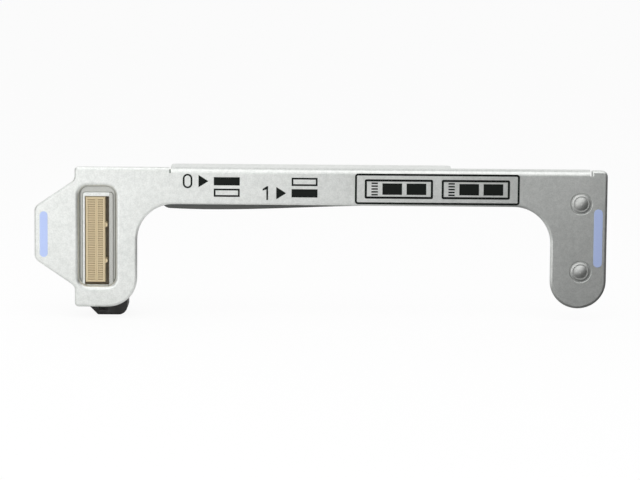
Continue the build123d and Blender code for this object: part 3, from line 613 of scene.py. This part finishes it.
tin, tin_place = new_finish("dull_tin")
tin_speck = grain(tin_place, 0.3 * MM)
dress(
    tin,
    Base_Color=blend(tin_speck, (0.60, 0.60, 0.58), (0.74, 0.74, 0.72)),
    Metallic=1.0,
    Roughness=0.30 + tin_speck * 0.14,
)
screw_points = [vertex.co for vertex in NODES["board_screws"].data.vertices]
rings = []
for first, last in SCREW_SPANS:
    screw = [point for point in screw_points if first * MM < point.x < last * MM]
    x, z = middle_of([point.x for point in screw]), middle_of([point.z for point in screw])
    ring = primitive(
        bpy.ops.mesh.primitive_cylinder_add, vertices=48, radius=RING_RADIUS,
        depth=RING_HEIGHT, location=(x, BOARD_BACK + RING_HEIGHT / 2, z),
        rotation=(math.pi / 2, 0, 0),
    )
    soften(ring, RING_ROUND, 1)
    rings.append(ring)
earth_rings = joined("board_earth_rings", rings)
earth_rings.data.materials.append(tin)
finished(earth_rings, "tin_plate")


# The white print on the back of the board: a thin outline round each large part, and a
# small circle beside each chip's first lead.
PRINT_RADIUS = 0.06 * MM
PRINT_SINK = 0.035 * MM
PRINT_MARGIN = 0.55                     # mm, as the next three
MEMORY_MARGIN = 1.35
DOT_RADIUS = 0.22
DOT_STEPS = 12
CHIPS = ("left_signal_repeater", "right_signal_repeater", "power_switch_chip", "memory_chip")
print_white, print_place = new_finish("white_board_print")
print_speck = grain(print_place, 0.3 * MM, detail=3.0)
dress(
    print_white,
    Base_Color=blend(print_speck, (0.66, 0.67, 0.64), (0.80, 0.81, 0.78)),
    Roughness=0.6,
)
print_routes = []
for part in CHIPS + ("clock_chip", "power_inductor", "bulk_capacitors", "cable_header"):
    low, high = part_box(part)
    reach = MEMORY_MARGIN if part == "memory_chip" else PRINT_MARGIN
    left, right = low.x / MM - reach, high.x / MM + reach
    foot, top = low.z / MM - PRINT_MARGIN, high.z / MM + PRINT_MARGIN
    print_routes.append([(left, foot), (right, foot), (right, top), (left, top), (left, foot)])
    if part in CHIPS:
        x, z = right + 2 * DOT_RADIUS, top - 2 * DOT_RADIUS
        turns = [math.tau * step / DOT_STEPS for step in range(DOT_STEPS + 1)]
        print_routes.append([
            (x + DOT_RADIUS * math.cos(turn), z + DOT_RADIUS * math.sin(turn)) for turn in turns
        ])
board_print = wires("board_print", print_routes, PRINT_RADIUS, PRINT_SINK)
board_print.data.materials.append(print_white)
finished(board_print, "board_laminate")


# The front socket: tan moulded nylon, fixed on the front of the board behind the window,
# with two columns of cells. Its colour is a little uneven.
tan, tan_place = new_finish("tan_nylon")
tan_grain = grain(tan_place, 0.6 * MM, detail=3.0)
tan_mix = tan_grain * 0.5 + grain(tan_place, 5 * MM) * 0.5
dress(
    tan,
    Base_Color=blend(tan_mix, (0.65, 0.535, 0.33), (0.76, 0.635, 0.415)),
    Roughness=0.6,
    Normal=relief(tan_grain, 0.02 * MM, 0.5),
)
coat("front_socket", tan)


# The front socket's contacts: stamped alloy tips, dull with a pale finish, that fill their
# cells almost to the face.
tips, tips_place = new_finish("dull_contact_tips")
tips_speck = grain(tips_place, 0.3 * MM)
dress(
    tips,
    Base_Color=blend(tips_speck, (0.58, 0.47, 0.29), (0.68, 0.56, 0.36)),
    Metallic=0.15,
    Roughness=0.55,
)
coat("front_socket_contacts", tips)


# The system plug: a black nylon moulding on the back of the board, with a fine satin face
# and edges that the mould leaves slightly round.
MERGE_GAP = 0.001 * MM
FLAT_ANGLE = math.radians(1)


def rounded_copy(node, finish, slot, width):
    """A copy of a CAD node whose loose triangles are merged and whose edges are rounded."""
    piece = bpy.data.objects.new(node + "_moulding", NODES[node].data.copy())
    bpy.context.scene.collection.objects.link(piece)
    enter(piece)
    bpy.ops.mesh.customdata_custom_splitnormals_clear()
    bpy.ops.mesh.select_all(action="SELECT")
    bpy.ops.mesh.remove_doubles(threshold=MERGE_GAP)
    bpy.ops.mesh.dissolve_limited(angle_limit=FLAT_ANGLE)
    leave()
    soften(piece, width)
    piece.data.materials.clear()
    piece.data.materials.append(finish)
    finished(piece, slot, node)


black, black_place = new_finish("black_nylon")
black_grain = grain(black_place, 0.35 * MM, detail=3.0)
dress(
    black,
    Base_Color=blend(black_grain, (0.016, 0.016, 0.016), (0.030, 0.030, 0.030)),
    Roughness=0.42 + black_grain * 0.12,
    Normal=relief(black_grain, 0.012 * MM, 0.5),
)
rounded_copy("system_plug", black, "black_plastic", 0.15 * MM)


# The contacts of the plug, the module sockets and the cable header: stamped copper alloy
# with a thin gold finish.
gold, gold_place = new_finish("gold_flash")
gold_speck = grain(gold_place, 0.4 * MM)
dress(
    gold,
    Base_Color=blend(gold_speck, (0.78, 0.56, 0.22), (0.88, 0.68, 0.32)),
    Metallic=1.0,
    Roughness=0.22 + gold_speck * 0.10,
)
for pins in ("system_plug_contacts", "slot_0_contacts", "slot_1_contacts", "cable_header_pins"):
    coat(pins, gold)


# The two module sockets: black nylon, one above the other on the board's back. Each is
# soldered along its upper side by a row of tinned tails, and at its ends by two plates.
TAIL_PITCH = 1.0 * MM
TAIL_COUNT = 18
TAIL_WIDTH = 0.35 * MM
TAIL_REACH = 1.0 * MM
TAIL_HEIGHT = 0.35 * MM
FOOT_UNDER = 0.1 * MM                   # how far a solder foot starts under its part
FOOT_ROUND = 0.02 * MM
TO_RIGHT, TO_TOP, TO_LEFT, TO_FOOT = 0.0, -math.pi / 2, math.pi, math.pi / 2


def block(name, low, high):
    """A plain block between two corners."""
    low, high = Vector(low), Vector(high)
    bpy.ops.object.select_all(action="DESELECT")
    bpy.ops.mesh.primitive_cube_add(size=1, location=(low + high) / 2)
    piece = bpy.context.object
    piece.scale = high - low
    bpy.ops.object.transform_apply(location=True, rotation=True, scale=True)
    piece.name = piece.data.name = name
    return piece


def spaced(middle, count, pitch):
    """Places at an even pitch, half of them on each side of a middle."""
    return [middle + (number - (count - 1) / 2) * pitch for number in range(count)]


def solder_feet(name, places, width, reach, height):
    """Small tinned feet on the board's back, which stand out from a part.

    Each place is the foot's x and z at the part's side, and the way that it points.
    """
    foot = block(
        "foot", (-FOOT_UNDER, BOARD_BACK, -width / 2), (reach, BOARD_BACK + height, width / 2)
    )
    soften(foot, FOOT_ROUND, 1)
    feet = joined(name, [
        twin(foot, Matrix.Translation((x, 0, z)) @ Matrix.Rotation(turn, 4, "Y"))
        for x, z, turn in places
    ])
    bpy.data.objects.remove(foot)
    feet.data.materials.append(tin)
    finished(feet, "tin_plate")


for socket in ("slot_0", "slot_1"):
    rounded_copy(socket + "_socket", black, "black_plastic", 0.12 * MM)
    low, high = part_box(socket + "_socket")
    tail_places = [
        (x, high.z, TO_TOP) for x in spaced((low.x + high.x) / 2, TAIL_COUNT, TAIL_PITCH)
    ]
    solder_feet(socket + "_tails", tail_places, TAIL_WIDTH, TAIL_REACH, TAIL_HEIGHT)
coat("socket_hold_downs", tin)


# The three board screws: nickel-plated steel, driven into the standoffs from behind. Their
# heads are bright and smooth, with the plating's fine speck.
nickel, nickel_place = new_finish("nickel_plated_steel")
nickel_speck = grain(nickel_place, 0.25 * MM)
dress(
    nickel,
    Base_Color=blend(nickel_speck, (0.56, 0.555, 0.54), (0.68, 0.675, 0.66)),
    Metallic=1.0,
    Roughness=0.24 + nickel_speck * 0.08,
)
coat("board_screws", nickel)


# The chips: black moulding resin with a fine matte face, a small round dimple at the first
# lead, and, on all but the memory chip, a row of solder at the foot of each side.
CHIP_ROUND = 0.05 * MM
DIMPLE_RADIUS = 0.28 * MM
DIMPLE_DEPTH = 0.06 * MM
DIMPLE_INSET = 0.84 * MM
CHIP_FOOT_PITCH = 0.5 * MM
CHIP_FOOT_WIDTH = 0.26 * MM
CHIP_FOOT_REACH = 0.28 * MM
CHIP_FOOT_HEIGHT = 0.2 * MM
resin, resin_place = new_finish("chip_resin")
resin_grain = grain(resin_place, 0.2 * MM, detail=3.0)
dress(
    resin,
    Base_Color=blend(resin_grain, (0.018, 0.018, 0.020), (0.034, 0.034, 0.036)),
    Roughness=0.50 + resin_grain * 0.15,
    Normal=relief(resin_grain, 0.010 * MM, 0.6),
)
for chip in CHIPS:
    low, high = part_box(chip)
    body = block(chip + "_body", low, high)
    soften(body, CHIP_ROUND)
    cutter = primitive(
        bpy.ops.mesh.primitive_cylinder_add, vertices=20, radius=DIMPLE_RADIUS,
        depth=2 * DIMPLE_DEPTH, rotation=(math.pi / 2, 0, 0),
        location=(high.x - DIMPLE_INSET, high.y, high.z - DIMPLE_INSET),
    )
    apply_modifier(body, "BOOLEAN", operation="DIFFERENCE", object=cutter, solver="EXACT")
    bpy.data.objects.remove(cutter)
    bpy.ops.object.shade_smooth_by_angle(angle=ROUND_ANGLE)
    body.data.materials.clear()
    body.data.materials.append(resin)
    finished(body, "chip_resin", chip)
    if chip == "memory_chip":
        continue
    foot_places = []
    feet_wide = int((high.x - low.x) / CHIP_FOOT_PITCH) - 1
    for x in spaced((low.x + high.x) / 2, feet_wide, CHIP_FOOT_PITCH):
        foot_places += [(x, high.z, TO_TOP), (x, low.z, TO_FOOT)]
    feet_high = int((high.z - low.z) / CHIP_FOOT_PITCH) - 1
    for z in spaced((low.z + high.z) / 2, feet_high, CHIP_FOOT_PITCH):
        foot_places += [(high.x, z, TO_RIGHT), (low.x, z, TO_LEFT)]
    solder_feet(
        chip + "_solder", foot_places, CHIP_FOOT_WIDTH, CHIP_FOOT_REACH, CHIP_FOOT_HEIGHT
    )


# The memory chip's leads: tinned gull wings, four on each side, with a little solder round
# each foot.
LEAD_PITCH = 1.27 * MM
LEADS_ON_A_SIDE = 4
LEAD_SOLDER_WIDTH = 0.5 * MM
LEAD_SOLDER_REACH = 0.3 * MM
LEAD_SOLDER_HEIGHT = 0.16 * MM
coat("memory_chip_leads", tin)
low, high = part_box("memory_chip_leads")
lead_places = []
for z in spaced((low.z + high.z) / 2, LEADS_ON_A_SIDE, LEAD_PITCH):
    lead_places += [(high.x, z, TO_RIGHT), (low.x, z, TO_LEFT)]
solder_feet(
    "memory_lead_solder", lead_places, LEAD_SOLDER_WIDTH, LEAD_SOLDER_REACH, LEAD_SOLDER_HEIGHT
)


# The clock chip: a small can of dark ceramic with slightly round edges, closed at the back
# by a flat metal lid.
CLOCK_ROUND = 0.05 * MM
FACING = 0.9                            # a normal's least share along the axis it faces
BASE_FINISH, LID_FINISH = 0, 1
low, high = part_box("clock_chip")
clock = block("clock_chip_can", low, high)
clock.data.materials.append(resin)
clock.data.materials.append(nickel)
for face in clock.data.polygons:
    face.material_index = LID_FINISH if face.normal.y > FACING else BASE_FINISH
soften(clock, CLOCK_ROUND)
finished(clock, "tin_plate", "clock_chip")


# The power inductor: pressed iron powder round a coil, dark grey with a coarse grain, held
# by a thin tinned clip on its left and right sides.
CLIP_WIDTH = 1.7 * MM
CLIP_HEIGHT = 1.5 * MM
CLIP_THICKNESS = 0.12 * MM
CLIP_ROUND = 0.03 * MM
ferrite, ferrite_place = new_finish("pressed_ferrite")
powder = grain(ferrite_place, 0.35 * MM, detail=4.0, roughness=0.7)
dress(
    ferrite,
    Base_Color=blend(powder, (0.06, 0.06, 0.065), (0.13, 0.13, 0.135)),
    Roughness=0.65,
    Normal=relief(powder, 0.03 * MM, 0.8),
)
coat("power_inductor", ferrite)
low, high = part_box("power_inductor")
middle_z = (low.z + high.z) / 2
clips = []
for x in (low.x, high.x):
    clip = block(
        "clip", (x - CLIP_THICKNESS / 2, BOARD_BACK, middle_z - CLIP_WIDTH / 2),
        (x + CLIP_THICKNESS / 2, BOARD_BACK + CLIP_HEIGHT, middle_z + CLIP_WIDTH / 2),
    )
    soften(clip, CLIP_ROUND, 1)
    clips.append(clip)
inductor_clips = joined("inductor_clips", clips)
inductor_clips.data.materials.append(tin)
finished(inductor_clips, "tin_plate")


# The capacitors and resistors: fired blocks with tinned end caps, which stand a little
# proud. Capacitors are brown and slightly glossy, and resistors are black.
CAP_SWELL = 0.03 * MM
CAP_SLACK = 1.02                        # takes in the step at the inner end of each cap
X_AXIS, Z_AXIS = 0, 2
BODY_FINISH, CAP_FINISH = 0, 1
ceramic, ceramic_place = new_finish("fired_ceramic")
ceramic_grain = grain(ceramic_place, 0.25 * MM)
dress(
    ceramic,
    Base_Color=blend(ceramic_grain, (0.32, 0.22, 0.13), (0.41, 0.29, 0.19)),
    Roughness=0.38 + ceramic_grain * 0.10,
)


def pick(piece, wanted):
    """Selects, in edit mode, the faces whose middle and normal the test accepts."""
    bpy.ops.mesh.select_all(action="DESELECT")
    mesh = bmesh.from_edit_mesh(piece.data)
    for face in mesh.faces:
        face.select_set(wanted(face.calc_center_median(), face.normal))
    bmesh.update_edit_mesh(piece.data)


def capped_blocks(node, count, width, along, cap, finish, slot):
    """A row of blocks, one for each of a node's solids, each width metres wide in the row.

    Their metal end caps lie along one axis, and are cap metres long.
    """
    low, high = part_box(node)
    size = high - low
    row = X_AXIS if size.x > size.z else Z_AXIS
    pitch = (size[row] - width) / (count - 1)
    corner = high.copy()
    corner[row] = low[row] + width
    middle = (low + corner) / 2
    reach = (corner[along] - low[along]) / 2
    one = block(
        "one", low + Vector((CAP_SWELL, 0, CAP_SWELL)),
        corner - Vector((CAP_SWELL, CAP_SWELL, CAP_SWELL)),
    )
    one.data.materials.append(finish)
    one.data.materials.append(tin)
    enter(one)
    for side in (-1, 1):
        bpy.ops.mesh.select_all(action="SELECT")
        cut = middle.copy()
        cut[along] += side * (reach - cap)
        facing = [0, 0, 0]
        facing[along] = 1
        bpy.ops.mesh.bisect(plane_co=cut, plane_no=facing)
    pick(one, lambda centre, normal: abs(centre[along] - middle[along]) > reach - cap
         and normal.y > -FACING)
    bpy.ops.mesh.extrude_region_shrink_fatten(TRANSFORM_OT_shrink_fatten={"value": CAP_SWELL})
    leave()
    for face in one.data.polygons:
        on_cap = abs(face.center[along] - middle[along]) > reach - CAP_SLACK * cap
        face.material_index = CAP_FINISH if on_cap else BODY_FINISH
    soften(one, CAP_SWELL, 1)
    copies = []
    for number in range(count):
        step = [0, 0, 0]
        step[row] = number * pitch
        copies.append(twin(one, Matrix.Translation(step)))
    bpy.data.objects.remove(one)
    finished(joined(node + "_capped", copies), slot, node)


capped_blocks(
    "bulk_capacitors", 3, width=1.8 * MM, along=Z_AXIS, cap=0.55 * MM,
    finish=ceramic, slot="capacitor_ceramic",
)
capped_blocks(
    "coupling_capacitors", 6, width=0.6 * MM, along=Z_AXIS, cap=0.25 * MM,
    finish=ceramic, slot="capacitor_ceramic",
)
capped_blocks(
    "chip_resistors", 4, width=0.8 * MM, along=X_AXIS, cap=0.3 * MM,
    finish=resin, slot="chip_resin",
)


# The cable header: pale moulded nylon on the beam end of the board, open to the back, with
# its pins pressed in.
ivory, ivory_place = new_finish("ivory_nylon")
ivory_grain = grain(ivory_place, 0.4 * MM, detail=3.0)
dress(
    ivory,
    Base_Color=blend(ivory_grain, (0.50, 0.47, 0.39), (0.60, 0.57, 0.49)),
    Roughness=0.45 + ivory_grain * 0.08,
    Normal=relief(ivory_grain, 0.012 * MM, 0.5),
)
rounded_copy("cable_header", ivory, "header_plastic", 0.1 * MM)


# The touch marks: pale blue ink, screen printed on the tab and on the right leg, where a
# hand takes hold of the card.
blue, blue_place = new_finish("pale_blue_ink")
blue_grain = grain(blue_place, 0.5 * MM, detail=3.0)
dress(
    blue,
    Base_Color=blend(blue_grain, (0.48, 0.59, 0.93), (0.54, 0.65, 0.98)),
    Roughness=0.5,
    Specular_IOR_Level=0.3,
    Normal=relief(blue_grain, 0.010 * MM, 0.4),
)
for mark in ("left_touch_mark", "right_touch_mark"):
    coat(mark, blue)


# The slot marks and the framed sign: black ink, screen printed on the beam. The ink is
# matte and almost without gloss.
ink, ink_place = new_finish("black_print_ink")
ink_grain = grain(ink_place, 0.4 * MM, detail=3.0)
dress(
    ink,
    Base_Color=blend(ink_grain, (0.006, 0.008, 0.007), (0.016, 0.019, 0.017)),
    Roughness=0.6,
    Specular_IOR_Level=0.08,
    Normal=relief(ink_grain, 0.010 * MM, 0.4),
)
for mark in ("slot_0_marks", "slot_1_marks", "sign_frame", "sign_cards"):
    coat(mark, ink)
